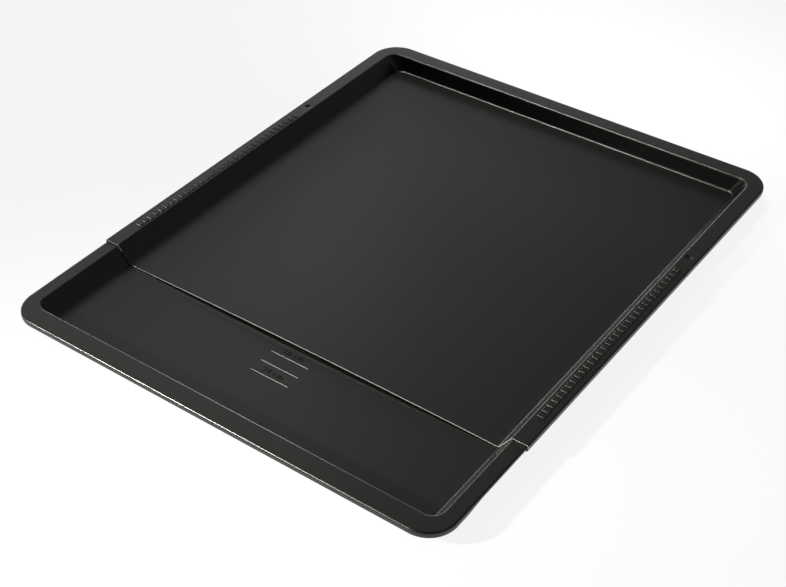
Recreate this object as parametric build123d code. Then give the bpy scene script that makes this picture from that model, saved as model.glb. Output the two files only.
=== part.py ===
from build123d import *

import os
from math import atan, cos, radians, sin, tan

# An extendable baking tray. The rear pan's side rims fold round the curled side edges of the
# front pan, which slides out from under it. Millimetres, +Z up, +X across the tray, and +Y from
# the front pan to the rear pan. The origin is under the middle of the tray, on the table.

# Sheet metal and running gaps
sheet = 0.6
slide_gap = 0.5
wall_gap = 0.4
edge_gap = 0.4
curl_gap = 0.3
inner_bend = 0.6
floor_bend = 1.0

# Rear pan, and what the front pan shares with it
rear_width = 334.0
rear_length = 322.5
pan_depth = 12.0
side_rim = 11.5
side_run = 8.5
rear_end_rim = 13.0
end_run = 2.2
rear_corner = 21.0
rim_corner = 8.5
foot_corner = 6.0
channel_lip = 4.0
channel_bend = 2.6

# Front end of the front pan, and its curled edge, deeper round the front than along the sides
front_end_rim = 14.3
front_corner = 19.5
side_curl = 3.4
side_lip = 3.2
side_bend = 1.7
front_curl = 5.4
front_lip = 4.2
front_bend = 2.3
curl_ramp_start = 27.0
curl_ramp_length = 18.0

# Ribs and dimples along the rear pan's side rims
rib_count = 33
rib_pitch = 5.2
rib_length = 5.4
rib_width = 3.4
rib_corner = 0.8
rib_rise = 0.5
rib_inset = 7.0
rib_setback = 24.8
dimple_setback = 16.2
dimple_width = 4.8
dimple_depth = 0.9
stop_gap = 0.5
press_angle = 40.0

# Catch bump on each side rim of the front pan
bump_width = 2.2
bump_rise = 0.3

# How far the tray is pulled out
closed_length = 370.5
rest_clicks = 8

# Centimetre scale stamped in the front pan's floor, each line a little behind its reading
mark_first = 380.0
mark_last = 530.0
mark_pitch = 10.0
mark_length = 30.0
mark_width = 0.9
mark_depth = 0.25
mark_shift = 0.7

# Spare length for cuts
overrun = 2.0

outer_bend = inner_bend + sheet
rest_length = closed_length + rest_clicks * rib_pitch
half_length = rest_length / 2
mouth = half_length - rear_length

# The front pan's floor lies on the table, and the rear pan's floor runs above it
front_floor = sheet
rear_floor = front_floor + slide_gap + sheet
rear_rim = rear_floor + pan_depth
front_rim = front_floor + pan_depth

# The wall of the front pan lies outside that of the rear pan, by one sheet and the gap
side_slope = side_run / pan_depth
lean = cos(atan(side_slope))
wall_offset = (sheet + wall_gap) / lean - (rear_floor - front_floor) * side_slope
front_width = rear_width - 2 * (sheet + edge_gap)
front_side_rim = side_rim - sheet - edge_gap - wall_offset
channel_height = sheet + slide_gap + side_curl + curl_gap + sheet

# Pressed shapes slope by the press angle, which makes their far side wider by the spread
press_slope = tan(radians(press_angle))
spread = sheet * (1 - sin(radians(press_angle))) / cos(radians(press_angle))

# Places along the tray, where the row of ribs runs from the mouth towards the rear
rib_line = rear_width / 2 - rib_inset
first_rib = mouth + rib_setback
last_rib = first_rib + (rib_count - 1) * rib_pitch
dimple_place = last_rib + dimple_setback
travel_in = rest_clicks * rib_pitch
bump_place = last_rib - travel_in
front_tail = dimple_place - dimple_width / 2 - stop_gap - travel_in
front_length = front_tail + half_length
ramp_high = half_length - curl_ramp_start
ramp_low = ramp_high - curl_ramp_length
mark_count = int((mark_last - mark_first) / mark_pitch) + 1


def rounded(half, low, high, radius, height):
    """A rounded rectangle, symmetric across the tray, from low to high along it."""
    return Pos(0, (low + high) / 2, height) * RectangleRounded(2 * half, high - low, radius)


def prism(half, low, high, radius, bottom, top):
    """An upright block on a rounded rectangle."""
    return extrude(rounded(half, low, high, radius, bottom), top - bottom)


def spare(width, end, top):
    """A block that takes off everything from end on, towards the open end, below the top."""
    far = 2 * half_length
    corner = (Align.CENTER, Align.MAX, Align.MAX)
    return Pos(0, end, top) * Box(2 * width, far, far, align=corner)


def level_edges(solid, height):
    """The edges of a solid that lie flat at one height."""
    boxes = [(edge, edge.bounding_box()) for edge in solid.edges()]
    near = sheet / 10
    return [
        edge
        for edge, box in boxes
        if abs(box.min.Z - height) < near and abs(box.max.Z - height) < near
    ]


def tub_edges(solid, height, half, low, high):
    """The level edges round the tub, which leave out those of the rim's own edge."""
    near = sheet / 2
    found = []
    for edge in level_edges(solid, height):
        box = edge.bounding_box()
        across = max(-box.min.X, box.max.X) < half + near
        along = box.min.Y > low - near and box.max.Y < high + near
        if across and along:
            found.append(edge)
    return found


def tub(half, end, start, floor, thickness):
    """The space inside a pan, or with a thickness the outside of its floor and walls."""
    across = thickness / lean
    foot = half - side_run + across - thickness * side_slope
    foot_end = end - end_run + thickness
    low = floor - thickness
    near = start - thickness
    bottom = rounded(foot, near, foot_end, foot_corner + thickness, low)
    top = rounded(half + across, near, end + thickness, rim_corner + thickness, floor + pan_depth)
    solid = loft([bottom, top], ruled=True)
    return fillet(level_edges(solid, low), floor_bend + thickness)


def folded_edge(half, end, start, corner, rim, height, lip, bend):
    """The rim's plate with its outer edge folded down, and turned back under it."""
    bottom = rim - height
    past = start - overrun
    block = prism(half, start, end, corner, bottom, rim)
    block = fillet(level_edges(block, rim), outer_bend)
    block = fillet(level_edges(block, bottom), bend)
    room = prism(half - sheet, past, end - sheet, corner - sheet, bottom + sheet, rim - sheet)
    room = fillet(level_edges(room, rim - sheet), inner_bend)
    room = fillet(level_edges(room, bottom + sheet), bend - sheet)
    way = prism(half - lip, past, end - lip, corner - lip, bottom - overrun, rim - sheet)
    return block - room - way


def curl_face(place, half, rim, height, lip, bend):
    """The curl under the outer bend, cut across at one place along the tray."""
    bottom = rim - height
    top = rim - outer_bend
    tall = top - bottom
    corner = (Align.MAX, Align.MIN)
    block = Pos(half, bottom) * Rectangle(lip, tall, align=corner)
    block = fillet(block.vertices().group_by(Axis.Y)[0].sort_by(Axis.X)[-1], bend)
    room = Pos(half - sheet, bottom + sheet) * Rectangle(lip, tall, align=corner)
    room = fillet(room.vertices().group_by(Axis.Y)[0].sort_by(Axis.X)[-1], bend - sheet)
    return Plane.XZ.offset(-place) * (block - room)


def curled_edge(half, end, start, rim):
    """The front pan's rim and curl, which is deep round the front and shallow at the sides."""
    deep = folded_edge(
        half, end, start, front_corner, rim, front_curl, front_lip, front_bend
    )
    deep -= spare(2 * half, ramp_high, rim - outer_bend)
    high = curl_face(ramp_high, half, rim, front_curl, front_lip, front_bend)
    low = curl_face(ramp_low, half, rim, side_curl, side_lip, side_bend)
    curl = loft([high, low], ruled=True) + extrude(low, ramp_low - start, dir=(0, -1, 0))
    return deep + curl + mirror(curl, Plane.YZ)


def pan(edge, width, rim_width, end_rim, length, floor):
    """A pan that is closed at the tray's +Y end, with its other end cut off straight."""
    rim = floor + pan_depth
    cut = half_length - length
    start = cut - 2 * rear_corner
    half = width / 2 - rim_width
    end = half_length - end_rim
    near = start + rear_corner
    outside = half + sheet / lean
    solid = edge(width / 2, half_length, start, rim) + tub(half, end, near, floor, sheet)
    under = tub_edges(solid, rim - sheet, outside, near - sheet, end + sheet)
    solid = fillet(under, inner_bend)
    solid -= tub(half, end, near, floor, 0)
    solid = fillet(tub_edges(solid, rim, half, near, end), outer_bend)
    return solid - spare(width, cut, rim + overrun)


def channel_edge(half, end, start, rim):
    """The rear pan's rim, whose folded edge makes the channel for the curl."""
    return folded_edge(
        half, end, start, rear_corner, rim, channel_height, channel_lip, channel_bend
    )


def rib_outline(inset):
    """A rib seen from above, drawn in by the inset."""
    return RectangleRounded(rib_length - 2 * inset, rib_width - 2 * inset, rib_corner - inset)


def dimple_outline(inset):
    """A dimple seen from above, drawn in by the inset."""
    return Circle(dimple_width / 2 - inset)


def bump_outline(inset):
    """A catch bump seen from above, drawn in by the inset."""
    return Circle(bump_width / 2 - inset)


def pressing(outline, x, y, base, rise, inset):
    """The solid between two sizes of an outline, drawn in on the way from its base."""
    foot = Pos(x, y, base) * outline(inset)
    top = Pos(x, y, base + rise) * outline(inset + abs(rise) * press_slope)
    return loft([foot, top], ruled=True)


def form(solid, outline, places, rim, rise):
    """Presses the rim's sheet up or down on both side rims, at places along the tray."""
    under = rim - sheet
    spots = [(side * rib_line, y) for side in (-1, 1) for y in places]
    if rise > 0:
        added = [pressing(outline, x, y, rim, rise, 0) for x, y in spots]
        taken = [pressing(outline, x, y, under, rise, spread) for x, y in spots]
    else:
        added = [pressing(outline, x, y, under, rise, -spread) for x, y in spots]
        taken = [pressing(outline, x, y, rim, rise, 0) for x, y in spots]
    return solid + added - taken


def rear_pan():
    """The upper pan, with the ribs that the catch bumps click under."""
    solid = pan(channel_edge, rear_width, side_rim, rear_end_rim, rear_length, rear_floor)
    ribs = [first_rib + number * rib_pitch for number in range(rib_count)]
    solid = form(solid, rib_outline, ribs, rear_rim, rib_rise)
    return form(solid, dimple_outline, [dimple_place], rear_rim, -dimple_depth)


def front_pan():
    """The lower pan, which carries the centimetre scale."""
    solid = pan(
        curled_edge, front_width, front_side_rim, front_end_rim, front_length, front_floor
    )
    solid = Rot(0, 0, 180) * solid
    solid = form(solid, bump_outline, [bump_place], front_rim, bump_rise)
    groove = Box(mark_length, mark_width, 2 * mark_depth)
    first_mark = mark_first - rear_length - half_length + mark_shift
    lines = [first_mark + number * mark_pitch for number in range(mark_count)]
    grooves = [Pos(0, line, front_floor) * groove for line in lines]
    return solid - grooves


def main():
    os.makedirs("parts", exist_ok=True)
    export_step(rear_pan(), "parts/rear_pan.step")
    export_step(front_pan(), "parts/front_pan.step")


main()
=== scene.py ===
from math import cos, pi, radians, sin, tan

import bpy
from mathutils import Matrix, Vector


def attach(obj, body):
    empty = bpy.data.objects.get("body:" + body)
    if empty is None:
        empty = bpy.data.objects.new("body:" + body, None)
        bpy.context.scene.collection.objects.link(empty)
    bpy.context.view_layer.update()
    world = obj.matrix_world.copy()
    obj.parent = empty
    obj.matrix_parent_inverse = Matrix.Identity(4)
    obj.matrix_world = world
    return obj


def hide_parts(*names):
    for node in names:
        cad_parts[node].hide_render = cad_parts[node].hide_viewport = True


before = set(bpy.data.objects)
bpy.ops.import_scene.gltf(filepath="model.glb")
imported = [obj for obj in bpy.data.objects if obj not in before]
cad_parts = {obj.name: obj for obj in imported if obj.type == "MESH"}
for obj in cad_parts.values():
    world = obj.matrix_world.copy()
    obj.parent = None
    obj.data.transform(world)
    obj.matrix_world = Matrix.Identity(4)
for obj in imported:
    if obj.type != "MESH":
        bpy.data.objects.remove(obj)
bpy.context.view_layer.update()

# The tray's sizes in metres, as in the part's source but for small ones that follow the picture.
# +X runs across the tray, and +Y from the front pan to the rear pan. The origin is on the table,
# under the middle of the tray.
MM = 0.001
SHEET = 0.6 * MM
REAR_WIDTH = 334 * MM
REAR_LENGTH = 322.5 * MM
FRONT_WIDTH = 332 * MM
FRONT_LENGTH = 252.5 * MM
DEPTH = 12 * MM
REAR_FLOOR = 1.7 * MM
FRONT_FLOOR = 0.6 * MM
HALF_LENGTH = 206.05 * MM
MOUTH = HALF_LENGTH - REAR_LENGTH

# Rims, walls, corners and bends. A strip of the floor belongs to the rings of the walls.
SIDE_RUN = 8.5 * MM
REAR_SIDE_RIM = 11.5 * MM
FRONT_SIDE_RIM = 10.05 * MM
END_RUN = 2.2 * MM
REAR_END_RIM = 13.35 * MM
FRONT_END_RIM = 14.3 * MM
REAR_CORNER = 21 * MM
FRONT_CORNER = 19.5 * MM
RIM_CORNER = 8.5 * MM
FOOT_CORNER = 6 * MM
FLOOR_STRIP = 4 * MM
STRIP_CORNER = FOOT_CORNER - 2 * MM
SIDE_BEND = 1.2 * MM
END_BEND = 1.6 * MM

# The rear floor's open end, which springs up in the middle, and the columns of both floors
CROWN = 1.5 * MM
MOUTH_REACH = 0.8 * MM
FLOOR_COLUMNS = 20

# Steps round the bends, from the floor to the lip, round the corners and along the curl's ramp
FOOT_STEPS = 6
RIM_STEPS = 8
TOP_STEPS = 10
LOW_STEPS = 12
CORNER_STEPS = 18
RAMP_STEPS = 8

# Folded edges, each with its height, the width of its lip, and the radii of its lower and upper
# bends. The front pan's curl deepens along the ramp.
CHANNEL = (5.4 * MM, 4.0 * MM, 2.6 * MM, 1.2 * MM)
SIDE_CURL = (3.4 * MM, 3.2 * MM, 1.7 * MM, 1.2 * MM)
FRONT_CURL = (5.4 * MM, 4.2 * MM, 2.3 * MM, 1.3 * MM)
CURL_RAMP = (HALF_LENGTH - 45 * MM, HALF_LENGTH - 27 * MM)

# Shapes pressed into the side rims. Their sizes are taken halfway up the flank, and the slope is
# the flank's width. Each shape fills a cell of the rim.
RIB_LINE = 160 * MM
RIB_COUNT = 33
RIB_PITCH = 5.2 * MM
FIRST_RIB = MOUTH + 24.8 * MM
LAST_RIB = FIRST_RIB + (RIB_COUNT - 1) * RIB_PITCH
RIB_SIZE = (5.0 * MM, 3.0 * MM)
RIB_CORNER = 0.75 * MM
RIB_RISE = 0.5 * MM
RIB_SLOPE = 0.5 * MM
DIMPLE_PLACE = LAST_RIB + 16.2 * MM
DIMPLE_WIDTH = 4.0 * MM
DIMPLE_DEPTH = 0.9 * MM
DIMPLE_SLOPE = 1.3 * MM
BUMP_PLACE = LAST_RIB - 8 * RIB_PITCH
BUMP_WIDTH = 1.6 * MM
BUMP_RISE = 0.3 * MM
BUMP_SLOPE = 0.9 * MM
CELL_ACROSS = 6.8 * MM
DIMPLE_CELL = 8 * MM
BUMP_CELL = 4 * MM

# The centimetre scale, with its readings in millimetres
MARK_FIRST = 380
MARK_LAST = 530
MARK_PITCH = 10
LABEL_PITCH = 20
MARK_LENGTH = 29.5 * MM
MARK_WIDTH = 1.9 * MM
MARK_DEPTH = 0.25 * MM
MARK_CENTRE = 0.5 * MM
MARK_SHIFT = 0.7 * MM
LETTER_SIZE = (2.5 * MM, 3.9 * MM)
LETTER_STEP = 3.6 * MM
LETTER_PLACES = (-2.3, -1.3, 0.1, 1.1)
LETTER_WIDTH = 1.0 * MM
LETTER_DEPTH = 0.32 * MM
LABEL_RAISE = 2.0 * MM
MARK_START = MARK_FIRST * MM - REAR_LENGTH - HALF_LENGTH + MARK_SHIFT

# Points closer than the merge or the weld become one. The bevel's own limit against overlaps
# leaves 0.015 mm of the rounding of the cut edges.
MERGE = 0.02 * MM
WELD = 0.004 * MM
CUT_ROUND = 0.28 * MM
CUT_ANGLE = radians(60)
SHARP_ANGLE = radians(35)


# Node graphs

class Link:
    """A node's output, which can stand in a Python sum."""

    def __init__(self, graph, socket):
        self.graph = graph
        self.socket = socket

    def math(self, operation, *values):
        return self.graph.math(operation, self, *values)

    def __add__(self, other):
        return self.graph.math("ADD", self, other)

    __radd__ = __add__

    def __sub__(self, other):
        return self.graph.math("SUBTRACT", self, other)

    def __rsub__(self, other):
        return self.graph.math("SUBTRACT", other, self)

    def __mul__(self, other):
        return self.graph.math("MULTIPLY", self, other)

    __rmul__ = __mul__

    def __truediv__(self, other):
        return self.graph.math("DIVIDE", self, other)

    def __lt__(self, other):
        return self.graph.math("LESS_THAN", self, other)


class Graph:
    """A node tree that is filled by calls."""

    def __init__(self, tree):
        self.tree = tree

    def node(self, kind, settings=None, inputs=None, out=0):
        node = self.tree.nodes.new(kind)
        for name, value in (settings or {}).items():
            setattr(node, name, value)
        for name, value in (inputs or {}).items():
            self.feed(node.inputs[name], value)
        return Link(self, node.outputs[out]) if len(node.outputs) else None

    def feed(self, socket, value):
        for item in value if isinstance(value, list) else [value]:
            if isinstance(item, Link):
                self.tree.links.new(item.socket, socket)
            else:
                socket.default_value = item

    def math(self, operation, *values):
        return self.node("ShaderNodeMath", {"operation": operation}, dict(enumerate(values)))

    def ramp(self, value, start, end):
        """A smooth rise from 0 at the start to 1 at the end."""
        ends = {"Value": value, "From Min": start, "From Max": end, "To Min": 0, "To Max": 1}
        return self.node("ShaderNodeMapRange", {"interpolation_type": "SMOOTHSTEP"}, ends)

    def noise(self, place, scale, detail, roughness=0.5):
        values = {"Vector": place, "Scale": scale, "Detail": detail, "Roughness": roughness}
        return self.node("ShaderNodeTexNoise", None, values)

    def blend(self, share, first, second):
        """A colour between two others."""
        values = {0: share, 6: first, 7: second}
        return self.node("ShaderNodeMix", {"data_type": "RGBA"}, values, 2)

    def vector(self, x, y, z):
        return self.node("ShaderNodeCombineXYZ", None, {"X": x, "Y": y, "Z": z})

    def parts(self, vector):
        split = self.node("ShaderNodeSeparateXYZ", None, {0: vector}).socket.node
        return [Link(self, socket) for socket in split.outputs]

    def transform(self, shape, kind, value):
        """A shape moved, turned or scaled, as the kind says."""
        return self.node("GeometryNodeTransform", None, {"Geometry": shape, kind: value})


# Finishes

def new_material(name):
    """A material and its empty node graph."""
    material = bpy.data.materials.new(name)
    material.use_nodes = True
    material.node_tree.nodes.clear()
    return material, Graph(material.node_tree)


def coating():
    """The satin non-stick coat, near black, with a fine fleck and faint clouds."""
    material, graph = new_material("coating")
    place = graph.node("ShaderNodeTexCoord", None, None, "Object")
    grain = graph.noise(place, 1300, 3, 0.65)
    cloud = graph.noise(place, 14, 3)
    fleck = graph.node("ShaderNodeTexVoronoi", None, {"Vector": place, "Scale": 620})
    spark = graph.node(
        "ShaderNodeMapRange",
        {"interpolation_type": "SMOOTHSTEP"},
        {"Value": fleck, "From Min": 0.05, "From Max": 0.32, "To Min": 1, "To Max": 0},
    )
    shade = 0.55 * grain + 0.3 * cloud + 0.25 * spark
    dark, pale = (0.0015, 0.0015, 0.0011, 1), (0.0050, 0.0049, 0.0038, 1)
    colour = graph.blend(shade, dark, pale)
    roughness = 0.25 + 0.10 * grain + 0.04 * cloud
    height = grain + 0.5 * spark
    relief = {"Strength": 0.22, "Distance": 0.00006, "Height": height}
    bump = graph.node("ShaderNodeBump", None, relief)
    shader = graph.node(
        "ShaderNodeBsdfPrincipled",
        None,
        {
            "Base Color": colour,
            "Roughness": roughness,
            "IOR": 1.5,
            "Specular Tint": (1, 0.995, 0.93, 1),
            "Normal": bump,
        },
    )
    graph.node("ShaderNodeOutputMaterial", None, {"Surface": shader})
    return material


def highlit_cut_edge():
    """The sheared edge of the sheet, where the coat is thin over the steel, in a pale grey that
    also paints in the highlight along the cut edge.
    """
    material, graph = new_material("highlit_cut_edge")
    place = graph.node("ShaderNodeTexCoord", None, None, "Object")
    wear = graph.noise(place, 240, 4, 0.6)
    bare = graph.node("ShaderNodeMapRange", None, {"Value": wear, "From Min": 0.3, "From Max": 0.7})
    # The pale grey is partly worn steel and partly a painted highlight on the cut edge.
    colour = graph.blend(bare, (0.30, 0.298, 0.29, 1), (0.40, 0.395, 0.38, 1))
    roughness, metallic = 0.30 + 0.10 * wear, 0.1 + 0.1 * bare
    shader = graph.node(
        "ShaderNodeBsdfPrincipled",
        None,
        {"Base Color": colour, "Roughness": roughness, "Metallic": metallic},
    )
    graph.node("ShaderNodeOutputMaterial", None, {"Surface": shader})
    return material


def table_top():
    """The plain pale table, which glows white to the camera and in reflections."""
    material, graph = new_material("table_top")
    place = graph.node("ShaderNodeTexCoord", None, None, "Object")
    roughness = 0.75 + 0.1 * graph.noise(place, 900, 2)
    shader = graph.node(
        "ShaderNodeBsdfPrincipled",
        None,
        {"Base Color": (0.93, 0.93, 0.93, 1), "Roughness": roughness, "Specular IOR Level": 0.2},
    )
    path = graph.node("ShaderNodeLightPath").socket.node
    seen = Link(graph, path.outputs["Is Camera Ray"])
    shone = Link(graph, path.outputs["Is Glossy Ray"])
    backdrop = graph.node("ShaderNodeEmission", None, {"Color": (1, 1, 1, 1), "Strength": 1})
    share = 0.88 * seen.math("MAXIMUM", shone)
    mixed = graph.node("ShaderNodeMixShader", None, {0: share, 1: shader, 2: backdrop})
    graph.node("ShaderNodeOutputMaterial", None, {"Surface": mixed})
    return material


# The pans' sheet

def portion(value, start, end):
    """How far a value is on the way from the start to the end, from 0 to 1."""
    return min(max((value - start) / (end - start), 0), 1)


def bend(before, corner, after, radius, steps):
    """Points round one bend of a section. A point is (inset, height, corner radius)."""
    into, out = corner - before, after - corner
    turn = into.xy.angle(out.xy)
    setback = radius * tan(turn / 2)
    first = corner - into * (setback / into.xy.length)
    last = corner + out * (setback / out.xy.length)
    points = []
    for step in range(steps + 1):
        t = step / steps
        a, b, c = (1 - t) ** 2, 2 * t * (1 - t) * cos(turn / 2), t**2
        points.append((first * a + corner * b + last * c) / (a + b + c))
    return points


def section(rim, run, floor, corner, fold, turn, cell):
    """The sheet's upper side from the floor to the end of the lip, cut across the rim."""
    height, lip, low_bend, top_bend = fold
    top = floor + DEPTH
    low = top - height
    corners = [
        (Vector((rim + run + FLOOR_STRIP, floor, STRIP_CORNER)), 0, 0),
        (Vector((rim + run, floor, FOOT_CORNER)), turn, FOOT_STEPS),
        (Vector((rim, top, RIM_CORNER)), turn, RIM_STEPS),
        (Vector((cell[0], top, corner - cell[0])), 0, 0),
        (Vector((cell[1], top, corner - cell[1])), 0, 0),
        (Vector((0, top, corner)), top_bend, TOP_STEPS),
        (Vector((0, low, corner)), low_bend, LOW_STEPS),
        (Vector((lip, low, corner - lip)), 0, 0),
    ]
    points = []
    for number, (place, radius, steps) in enumerate(corners):
        if radius:
            points += bend(corners[number - 1][0], place, corners[number + 1][0], radius, steps)
        else:
            points.append(place)
    return points


def pan_surface(
    name, width, rim, end_rim, corner, floor, folds, stations, cells, cell, crown, turned
):
    """A pan's upper side as one open sheet, left open where the rim's pressings go.

    The floor springs up by the crown along the middle of its open end.
    """
    half = width / 2
    side_fold, end_fold = folds
    side = section(rim, SIDE_RUN, floor, corner, side_fold, SIDE_BEND, cell)
    side_deep = section(rim, SIDE_RUN, floor, corner, end_fold, SIDE_BEND, cell)
    end = section(end_rim, END_RUN, floor, corner, end_fold, END_BEND, cell)
    angles = [radians(90) * step / CORNER_STEPS for step in range(CORNER_STEPS + 1)]
    rings = []
    for shallow, deep, far in zip(side, side_deep, end):
        radius = (deep.z + far.z) / 2
        right = []
        for y in stations:
            share = portion(y, *CURL_RAMP)
            inset, height, _ = shallow.lerp(deep, share * share * (3 - 2 * share))
            right.append(Vector((half - inset, y, height)))
        for angle in angles:
            height = deep.y + (far.y - deep.y) * sin(angle) ** 2
            x = half - deep.x - radius + radius * cos(angle)
            y = HALF_LENGTH - far.x - radius + radius * sin(angle)
            right.append(Vector((x, y, height)))
        left = [Vector((-point.x, point.y, point.z)) for point in reversed(right)]
        rings.append(right + left)
    count = len(rings[0])
    strip = min(range(len(side)), key=lambda number: abs(side[number].x - cell[0]))
    points = [point for ring in rings for point in ring]
    rows = []
    for spot in range(count // 2):
        near, far = points[spot], points[count - 1 - spot]
        share = portion(near.y, HALF_LENGTH - end_rim, stations[0])
        rise = crown * share * share * (3 - 2 * share)
        row = [spot]
        for column in range(1, FLOOR_COLUMNS):
            point = near.lerp(far, column / FLOOR_COLUMNS)
            across = 1 - (2 * column / FLOOR_COLUMNS - 1) ** 2
            row.append(len(points))
            points.append(point + Vector((0, 0, rise * across)))
        rows.append(row + [count - 1 - spot])
    faces = []
    for near_row, far_row in zip(rows, rows[1:]):
        for column in range(FLOOR_COLUMNS):
            pair = slice(column, column + 2)
            faces.append([near_row[column], *far_row[pair], near_row[column + 1]])
    for ring in range(len(rings) - 1):
        for spot in range(count - 1):
            along = min(spot, count - 2 - spot)
            if ring == strip and along < len(stations) - 1:
                middle = (stations[along] + stations[along + 1]) / 2
                if any(low < middle < high for low, high in cells):
                    continue
            first, second = ring * count + spot, (ring + 1) * count + spot
            faces.append([first, second, second + 1, first + 1])
    mesh = bpy.data.meshes.new(name)
    mesh.from_pydata(points, [], faces)
    if turned:
        mesh.transform(Matrix.Rotation(pi, 4, "Z"))
    mesh.shade_smooth()
    piece = bpy.data.objects.new(name, mesh)
    bpy.context.scene.collection.objects.link(piece)
    return piece


# Geometry node trees

def new_tree(name, sizes):
    """A tree for a modifier, with its named sizes, and the links that its inputs give."""
    tree = bpy.data.node_groups.new(name, "GeometryNodeTree")
    tree.interface.new_socket("Geometry", in_out="OUTPUT", socket_type="NodeSocketGeometry")
    tree.interface.new_socket("Geometry", in_out="INPUT", socket_type="NodeSocketGeometry")
    for size, kind in sizes.items():
        tree.interface.new_socket(size, in_out="INPUT", socket_type="NodeSocket" + kind)
    graph = Graph(tree)
    entry = tree.nodes.new("NodeGroupInput")
    return graph, {socket.name: Link(graph, socket) for socket in entry.outputs if socket.name}


def close_tree(graph, shape, material=None):
    """Ends a tree with its instances made real, and with one finish where it is given."""
    shape = graph.node("GeometryNodeRealizeInstances", None, {"Geometry": shape})
    if material:
        dressed = {"Geometry": shape, "Material": material}
        shape = graph.node("GeometryNodeSetMaterial", None, dressed)
    exit_node = graph.tree.nodes.new("NodeGroupOutput")
    graph.feed(exit_node.inputs[0], shape)


def pressing_tree():
    """A row of pressed shapes on both side rims, merged into the openings of the sheet.

    Each one starts as an upright cylinder. Its lowest loop becomes the four corners of its cell
    in the rim, and the loops above it the outline of the pressed shape, up to its flat top.
    """
    sizes = {
        "Across": "Float",
        "Along": "Float",
        "Corner": "Float",
        "Rise": "Float",
        "Slope": "Float",
        "Cell Across": "Float",
        "Cell Along": "Float",
        "Row Line": "Float",
        "Count": "Int",
        "Pitch": "Float",
        "First": "Float",
        "Level": "Float",
        "Material": "Material",
    }
    graph, given = new_tree("pressing", sizes)
    loops = 7
    sides = 20
    tube = graph.node(
        "GeometryNodeMeshCylinder",
        None,
        {"Vertices": sides, "Side Segments": loops, "Radius": 1, "Depth": 1},
    )
    bottom = Link(graph, tube.socket.node.outputs["Bottom"])
    tube = graph.node(
        "GeometryNodeDeleteGeometry",
        {"domain": "FACE", "mode": "ONLY_FACE"},
        {"Geometry": tube, "Selection": bottom},
    )
    tube = graph.transform(tube, "Rotation", (0, 0, pi / sides))
    x, y, z = graph.parts(graph.node("GeometryNodeInputPosition"))
    climb = (z + (0.5 - 1 / loops)) / (1 - 1 / loops)
    climb = climb.math("MAXIMUM", 0)
    inset = (climb - 0.5) * given["Slope"]
    turn = given["Corner"] - inset
    side_x, side_y = x.math("SIGN"), y.math("SIGN")
    pressed_x = side_x * (given["Across"] / 2 - given["Corner"]) + x * turn
    pressed_y = side_y * (given["Along"] / 2 - given["Corner"]) + y * turn
    pressed_z = given["Rise"] * climb * climb * (3 - 2 * climb)
    lowest = z < 0.5 / loops - 0.5
    pressed = graph.vector(pressed_x, pressed_y, pressed_z)
    cell = graph.vector(side_x * given["Cell Across"] / 2, side_y * given["Cell Along"] / 2, 0)
    where = {0: lowest, 4: pressed, 5: cell}
    where = graph.node("ShaderNodeMix", {"data_type": "VECTOR"}, where, 1)
    shape = graph.node("GeometryNodeSetPosition", None, {"Geometry": tube, "Position": where})
    right = graph.transform(shape, "Translation", graph.vector(given["Row Line"], 0, 0))
    left = graph.transform(shape, "Translation", graph.vector(0 - given["Row Line"], 0, 0))
    pair = graph.node("GeometryNodeJoinGeometry", None, {"Geometry": [left, right]})
    row = graph.node(
        "GeometryNodeMeshLine",
        None,
        {
            "Count": given["Count"],
            "Start Location": graph.vector(0, given["First"], given["Level"]),
            "Offset": graph.vector(0, given["Pitch"], 0),
        },
    )
    rows = graph.node("GeometryNodeInstanceOnPoints", None, {"Points": row, "Instance": pair})
    rows = graph.node("GeometryNodeRealizeInstances", None, {"Geometry": rows})
    whole = graph.node("GeometryNodeJoinGeometry", None, {"Geometry": [rows, given["Geometry"]]})
    merged = {"Geometry": whole, "Distance": MERGE}
    whole = graph.node("GeometryNodeMergeByDistance", None, merged)
    whole = graph.node("GeometryNodeSetShadeSmooth", None, {"Geometry": whole})
    close_tree(graph, whole, given["Material"])
    return graph.tree


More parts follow.
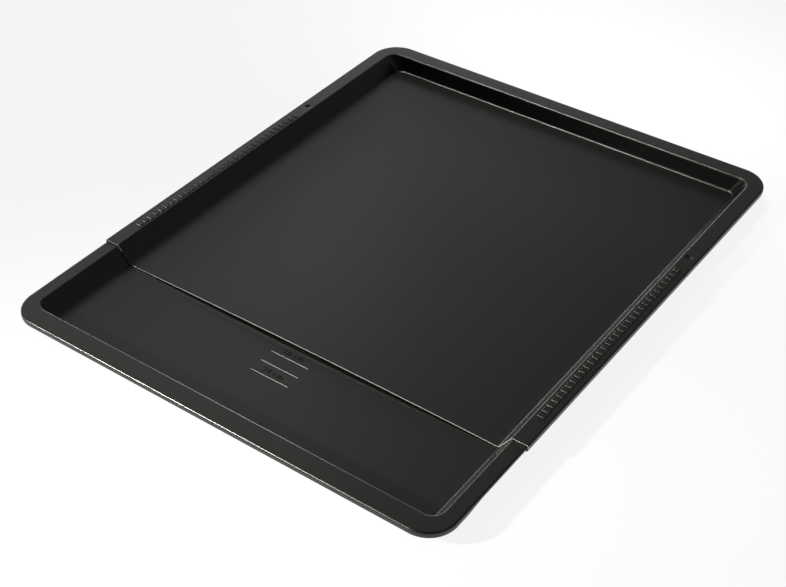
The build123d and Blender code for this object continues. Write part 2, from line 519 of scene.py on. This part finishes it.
def scale_tree():
    """Cuts the centimetre lines into the front pan's floor, and the strokes of their numbers."""
    sizes = {
        "First": "Float",
        "Pitch": "Float",
        "Count": "Int",
        "Centre": "Float",
        "Level": "Float",
        "Line Length": "Float",
        "Line Width": "Float",
        "Line Depth": "Float",
        "Letters": "Object",
        "Letter Width": "Float",
        "Letter Depth": "Float",
    }
    graph, given = new_tree("scale", sizes)
    groove = {"Vertices": 4, "Radius": 0.5, "Depth": 1}
    groove = graph.node("GeometryNodeMeshCylinder", None, groove)
    groove = graph.transform(groove, "Rotation", (0, radians(90), 0))
    size = graph.vector(given["Line Length"], given["Line Width"], 2 * given["Line Depth"])
    groove = graph.transform(groove, "Scale", size)
    row = graph.node(
        "GeometryNodeMeshLine",
        None,
        {
            "Count": given["Count"],
            "Start Location": graph.vector(given["Centre"], given["First"], given["Level"]),
            "Offset": graph.vector(0, given["Pitch"], 0),
        },
    )
    lines = graph.node("GeometryNodeInstanceOnPoints", None, {"Points": row, "Instance": groove})
    letters = graph.node("GeometryNodeObjectInfo", None, {"Object": given["Letters"]})
    letters = Link(graph, letters.socket.node.outputs["Geometry"])
    strokes = graph.node("GeometryNodeMeshToCurve", None, {"Mesh": letters})
    tip = {"Resolution": 4, "Radius": 1}
    tip = graph.node("GeometryNodeCurvePrimitiveCircle", {"mode": "RADIUS"}, tip)
    size = graph.vector(given["Letter Depth"], given["Letter Width"] / 2, 1)
    tip = graph.transform(tip, "Scale", size)
    swept = {"Curve": strokes, "Profile Curve": tip, "Fill Caps": True}
    strokes = graph.node("GeometryNodeCurveToMesh", None, swept)
    cutter = graph.node("GeometryNodeJoinGeometry", None, {"Geometry": [lines, strokes]})
    cutter = graph.node("GeometryNodeRealizeInstances", None, {"Geometry": cutter})
    sharp = {"Geometry": cutter, "Shade Smooth": False}
    cutter = graph.node("GeometryNodeSetShadeSmooth", None, sharp)
    cut = graph.node(
        "GeometryNodeMeshBoolean",
        {"operation": "DIFFERENCE", "solver": "EXACT"},
        {"Mesh 1": given["Geometry"], "Mesh 2": cutter, "Self Intersection": True},
    )
    close_tree(graph, cut)
    return graph.tree


def scale_letters():
    """The strokes of the scale's numbers, as bare lines on the front pan's floor."""
    bowl = [(0.12, 0.82), (0, 0.5), (0.12, 0.18), (0.5, 0), (0.88, 0.18), (1, 0.5), (0.88, 0.82)]
    upper = [(0.5, 0.53), (0.12, 0.76), (0.5, 1), (0.88, 0.76)]
    lower = [(0.5, 0.53), (0.02, 0.26), (0.5, 0), (0.98, 0.26), (0.5, 0.53)]
    forms = {
        "0": [[(0.5, 1), *bowl, (0.5, 1)]],
        "2": [
            [(0.05, 0.78), (0.3, 1), (0.75, 0.98), (0.95, 0.72), (0.7, 0.4), (0, 0), (1, 0)],
        ],
        "3": [
            [(0.05, 0.85), (0.45, 1), (0.9, 0.8), (0.75, 0.56), (0.4, 0.52)]
            + [(0.85, 0.42), (0.95, 0.2), (0.5, 0), (0, 0.14)],
        ],
        "4": [[(0.78, 0), (0.78, 1), (0, 0.3), (1, 0.3)]],
        "5": [
            [(0.9, 1), (0.2, 1), (0.1, 0.55), (0.55, 0.62)]
            + [(0.95, 0.4), (0.85, 0.1), (0.4, 0), (0, 0.14)],
        ],
        "6": [
            [(0.85, 0.92), (0.5, 1), (0.12, 0.7), (0.05, 0.3)]
            + [(0.5, 0), (0.92, 0.3), (0.5, 0.58), (0.1, 0.4)],
        ],
        "8": [upper + lower],
        "c": [[(0.9, 0.6), (0.5, 0.7), (0.1, 0.5), (0.1, 0.2), (0.5, 0), (0.9, 0.1)]],
        "m": [
            [(0, 0), (0, 0.7)],
            [(0, 0.5), (0.35, 0.7), (0.6, 0.55), (0.6, 0)],
            [(0.6, 0.5), (0.95, 0.7), (1.2, 0.55), (1.2, 0)],
        ],
    }
    wide, tall = LETTER_SIZE
    points, edges = [], []
    for total in range(MARK_FIRST, MARK_LAST, LABEL_PITCH):
        line = MARK_START + (total - MARK_FIRST) * MM + LABEL_RAISE
        for place, letter in zip(LETTER_PLACES, f"{total // 10}cm"):
            left = MARK_CENTRE + place * LETTER_STEP
            for stroke in forms[letter]:
                first = len(points)
                points += [(left + x * wide, line + y * tall, FRONT_FLOOR) for x, y in stroke]
                edges += [(number, number + 1) for number in range(first, len(points) - 1)]
    mesh = bpy.data.meshes.new("scale_letters")
    mesh.from_pydata(points, edges, [])
    return bpy.data.objects.new("scale_letters", mesh)


def add_tree(piece, tree, values):
    """Adds a tree to a piece, with the tree's inputs set by their identifiers."""
    modifier = piece.modifiers.new(tree.name, "NODES")
    modifier.node_group = tree
    for item in tree.interface.items_tree:
        if item.in_out == "INPUT" and item.name in values:
            modifier[item.identifier] = values[item.name]


def settle(piece):
    """Turns a piece and its modifiers into a plain mesh."""
    graph = bpy.context.evaluated_depsgraph_get()
    mesh = bpy.data.meshes.new_from_object(piece.evaluated_get(graph), depsgraph=graph)
    piece.modifiers.clear()
    piece.data = mesh


def thicken(piece):
    """Gives the sheet its thickness, and rounds the edges where it is cut."""
    wall = piece.modifiers.new("sheet", "SOLIDIFY")
    wall.thickness = SHEET
    wall.offset = -1
    wall.use_even_offset = True
    # The cut faces take the second finish: worn steel with a painted highlight.
    wall.material_offset_rim = 1
    edge = piece.modifiers.new("cut edges", "BEVEL")
    edge.width = CUT_ROUND
    edge.segments = 3
    edge.limit_method = "ANGLE"
    edge.angle_limit = CUT_ANGLE
    edge.material = 1
    settle(piece)
    piece.data.set_sharp_from_angle(angle=SHARP_ANGLE)


def flatten(piece):
    """Keeps the flat faces flat between smoothly shaded bends."""
    normals = piece.modifiers.new("flat faces", "WEIGHTED_NORMAL")
    normals.keep_sharp = True
    settle(piece)


def press(piece, size, corner, rise, slope, cell, count, first, level):
    """Presses a row of shapes into both side rims. A size and a cell are (across, along)."""
    values = {
        "Across": size[0],
        "Along": size[1],
        "Corner": corner,
        "Rise": rise,
        "Slope": slope,
        "Cell Across": cell[0],
        "Cell Along": cell[1],
        "Row Line": RIB_LINE,
        "Count": count,
        "Pitch": RIB_PITCH,
        "First": first,
        "Level": level,
        "Material": coat,
    }
    add_tree(piece, pressing, values)


def press_round(piece, width, rise, slope, cell, place, level):
    """Presses one round shape into each side rim."""
    press(piece, (width, width), width / 2, rise, slope, cell, 1, place, level)


def rear_pan():
    """The upper pan with its ribs and dimples."""
    low = FIRST_RIB - RIB_PITCH / 2
    rib_edges = [low + number * RIB_PITCH for number in range(RIB_COUNT + 1)]
    dimple_edges = [DIMPLE_PLACE - DIMPLE_CELL / 2, DIMPLE_PLACE + DIMPLE_CELL / 2]
    edge = REAR_WIDTH / 2 - RIB_LINE
    piece = pan_surface(
        name="rear_pan_sheet",
        width=REAR_WIDTH,
        rim=REAR_SIDE_RIM,
        end_rim=REAR_END_RIM,
        corner=REAR_CORNER,
        floor=REAR_FLOOR,
        folds=(CHANNEL, CHANNEL),
        stations=[MOUTH - MOUTH_REACH] + rib_edges + dimple_edges,
        cells=[(rib_edges[0], rib_edges[-1]), tuple(dimple_edges)],
        cell=(edge + CELL_ACROSS / 2, edge - CELL_ACROSS / 2),
        crown=CROWN,
        turned=False,
    )
    piece.data.materials.append(coat)
    piece.data.materials.append(worn_and_highlit_edge)
    level = REAR_FLOOR + DEPTH
    rib_cell, dimple_cell = (CELL_ACROSS, RIB_PITCH), (CELL_ACROSS, DIMPLE_CELL)
    press(
        piece, RIB_SIZE, RIB_CORNER, RIB_RISE, RIB_SLOPE, rib_cell, RIB_COUNT, FIRST_RIB, level
    )
    press_round(
        piece, DIMPLE_WIDTH, -DIMPLE_DEPTH, DIMPLE_SLOPE, dimple_cell, DIMPLE_PLACE, level
    )
    thicken(piece)
    flatten(piece)
    return piece


def front_pan():
    """The lower pan with its catch bumps and its centimetre scale."""
    bump_edges = [-BUMP_PLACE - BUMP_CELL / 2, -BUMP_PLACE + BUMP_CELL / 2]
    rise = CURL_RAMP[1] - CURL_RAMP[0]
    ramp = [CURL_RAMP[0] + rise * step / RAMP_STEPS for step in range(RAMP_STEPS + 1)]
    edge = FRONT_WIDTH / 2 - RIB_LINE
    piece = pan_surface(
        name="front_pan_sheet",
        width=FRONT_WIDTH,
        rim=FRONT_SIDE_RIM,
        end_rim=FRONT_END_RIM,
        corner=FRONT_CORNER,
        floor=FRONT_FLOOR,
        folds=(SIDE_CURL, FRONT_CURL),
        stations=[HALF_LENGTH - FRONT_LENGTH] + bump_edges + ramp,
        cells=[tuple(bump_edges)],
        cell=(edge + BUMP_CELL / 2, edge - BUMP_CELL / 2),
        crown=0,
        turned=True,
    )
    piece.data.materials.append(coat)
    piece.data.materials.append(worn_and_highlit_edge)
    level = FRONT_FLOOR + DEPTH
    bump_cell = (BUMP_CELL, BUMP_CELL)
    press_round(piece, BUMP_WIDTH, BUMP_RISE, BUMP_SLOPE, bump_cell, BUMP_PLACE, level)
    thicken(piece)
    letters = scale_letters()
    marks = {
        "First": MARK_START,
        "Pitch": MARK_PITCH * MM,
        "Count": (MARK_LAST - MARK_FIRST) // MARK_PITCH + 1,
        "Centre": MARK_CENTRE,
        "Level": FRONT_FLOOR,
        "Line Length": MARK_LENGTH,
        "Line Width": MARK_WIDTH,
        "Line Depth": MARK_DEPTH,
        "Letters": letters,
        "Letter Width": LETTER_WIDTH,
        "Letter Depth": LETTER_DEPTH,
    }
    add_tree(piece, scale, marks)
    weld = piece.modifiers.new("weld", "WELD")
    weld.merge_threshold = WELD
    settle(piece)
    bpy.data.objects.remove(letters)
    flatten(piece)
    return piece


# The table, the lights and the camera

def table():
    """A wide plain table."""
    mesh = bpy.data.meshes.new("table")
    reach = 12
    corners = [(-reach, -reach, 0), (reach, -reach, 0), (reach, reach, 0), (-reach, reach, 0)]
    mesh.from_pydata(corners, [], [(0, 1, 2, 3)])
    mesh.materials.append(table_top())
    piece = bpy.data.objects.new("table", mesh)
    bpy.context.scene.collection.objects.link(piece)


def softbox(name, place, aim, size, spread, power):
    """A rectangular lamp that faces a point, with its beam limited to the spread in degrees."""
    lamp = bpy.data.lights.new(name, "AREA")
    lamp.shape = "RECTANGLE"
    lamp.size, lamp.size_y = size
    lamp.spread = radians(spread)
    lamp.energy = power
    holder = bpy.data.objects.new(name, lamp)
    bpy.context.scene.collection.objects.link(holder)
    holder.location = place
    holder.rotation_euler = (Vector(aim) - Vector(place)).to_track_quat("-Z", "Y").to_euler()


def lamps():
    """Lamps on the left, aimed before the tray, behind it, and faintly at its front edge."""
    softbox(
        "front light",
        place=(-1.11, -1.5, 0.87),
        aim=(-0.03, -0.32, 0),
        size=(0.1, 0.1),
        spread=18.5,
        power=1.25,
    )
    softbox(
        "top light",
        place=(-0.82, 0.39, 1.8),
        aim=(0, 0.28, 0),
        size=(0.1, 0.35),
        spread=12,
        power=0.33,
    )
    softbox(
        "back light",
        place=(-0.74, 1.16, 0.43),
        aim=(0, -0.2, 0),
        size=(0.08, 0.08),
        spread=7,
        power=0.0055,
    )


def surroundings():
    """A dim room, brighter high on the left, darker in front, with a glow low on the far left."""
    world = bpy.data.worlds.new("room")
    bpy.context.scene.world = world
    world.use_nodes = True
    world.node_tree.nodes.clear()
    graph = Graph(world.node_tree)
    ray = graph.node("ShaderNodeTexCoord", None, None, "Generated")
    across, along, up = graph.parts(ray)
    left = graph.ramp(across, -0.28, -0.54)
    high = graph.ramp(up, 0.2, 0.45)
    front = graph.ramp(along, 0.1, -0.5)
    far_left = graph.ramp(across, -0.2, -0.6) * graph.ramp(along, -0.1, 0.3)
    glow = far_left * graph.ramp(up, 0.28, 0.08)
    strength = 0.18 + 0.44 * left * high + 6.0 * glow - 0.15 * front
    room = graph.node("ShaderNodeBackground", None, {"Color": (1, 1, 1, 1), "Strength": strength})
    graph.node("ShaderNodeOutputWorld", None, {"Surface": room})


def camera():
    """The photograph's viewpoint."""
    azimuth, height, roll = radians(36.63), radians(39.38), radians(-0.73)
    distance = 0.9589
    target = Vector((15.2, -40.05, 1.7)) * MM
    back = Vector((sin(azimuth) * cos(height), -cos(azimuth) * cos(height), sin(height)))
    right = Vector((cos(azimuth), sin(azimuth), 0))
    up = back.cross(right)
    turned_right = right * cos(roll) + up * sin(roll)
    turned_up = up * cos(roll) - right * sin(roll)
    lens = bpy.data.cameras.new("viewpoint")
    lens.sensor_fit = "HORIZONTAL"
    lens.sensor_width = 36
    lens.lens = 67.42
    lens.clip_end = 100
    holder = bpy.data.objects.new("viewpoint", lens)
    bpy.context.scene.collection.objects.link(holder)
    place = Matrix.Translation(target + back * distance)
    turn = Matrix((turned_right, turned_up, back)).transposed().to_4x4()
    holder.matrix_world = place @ turn
    bpy.context.scene.camera = holder


coat = coating()
worn_and_highlit_edge = highlit_cut_edge()
camera()
table()
surroundings()
lamps()
pressing = pressing_tree()
scale = scale_tree()
rear = rear_pan()
front = front_pan()
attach(rear, "rear")
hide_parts("rear_pan")
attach(front, "front")
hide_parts("front_pan")
bpy.context.scene.view_settings.view_transform = "Standard"
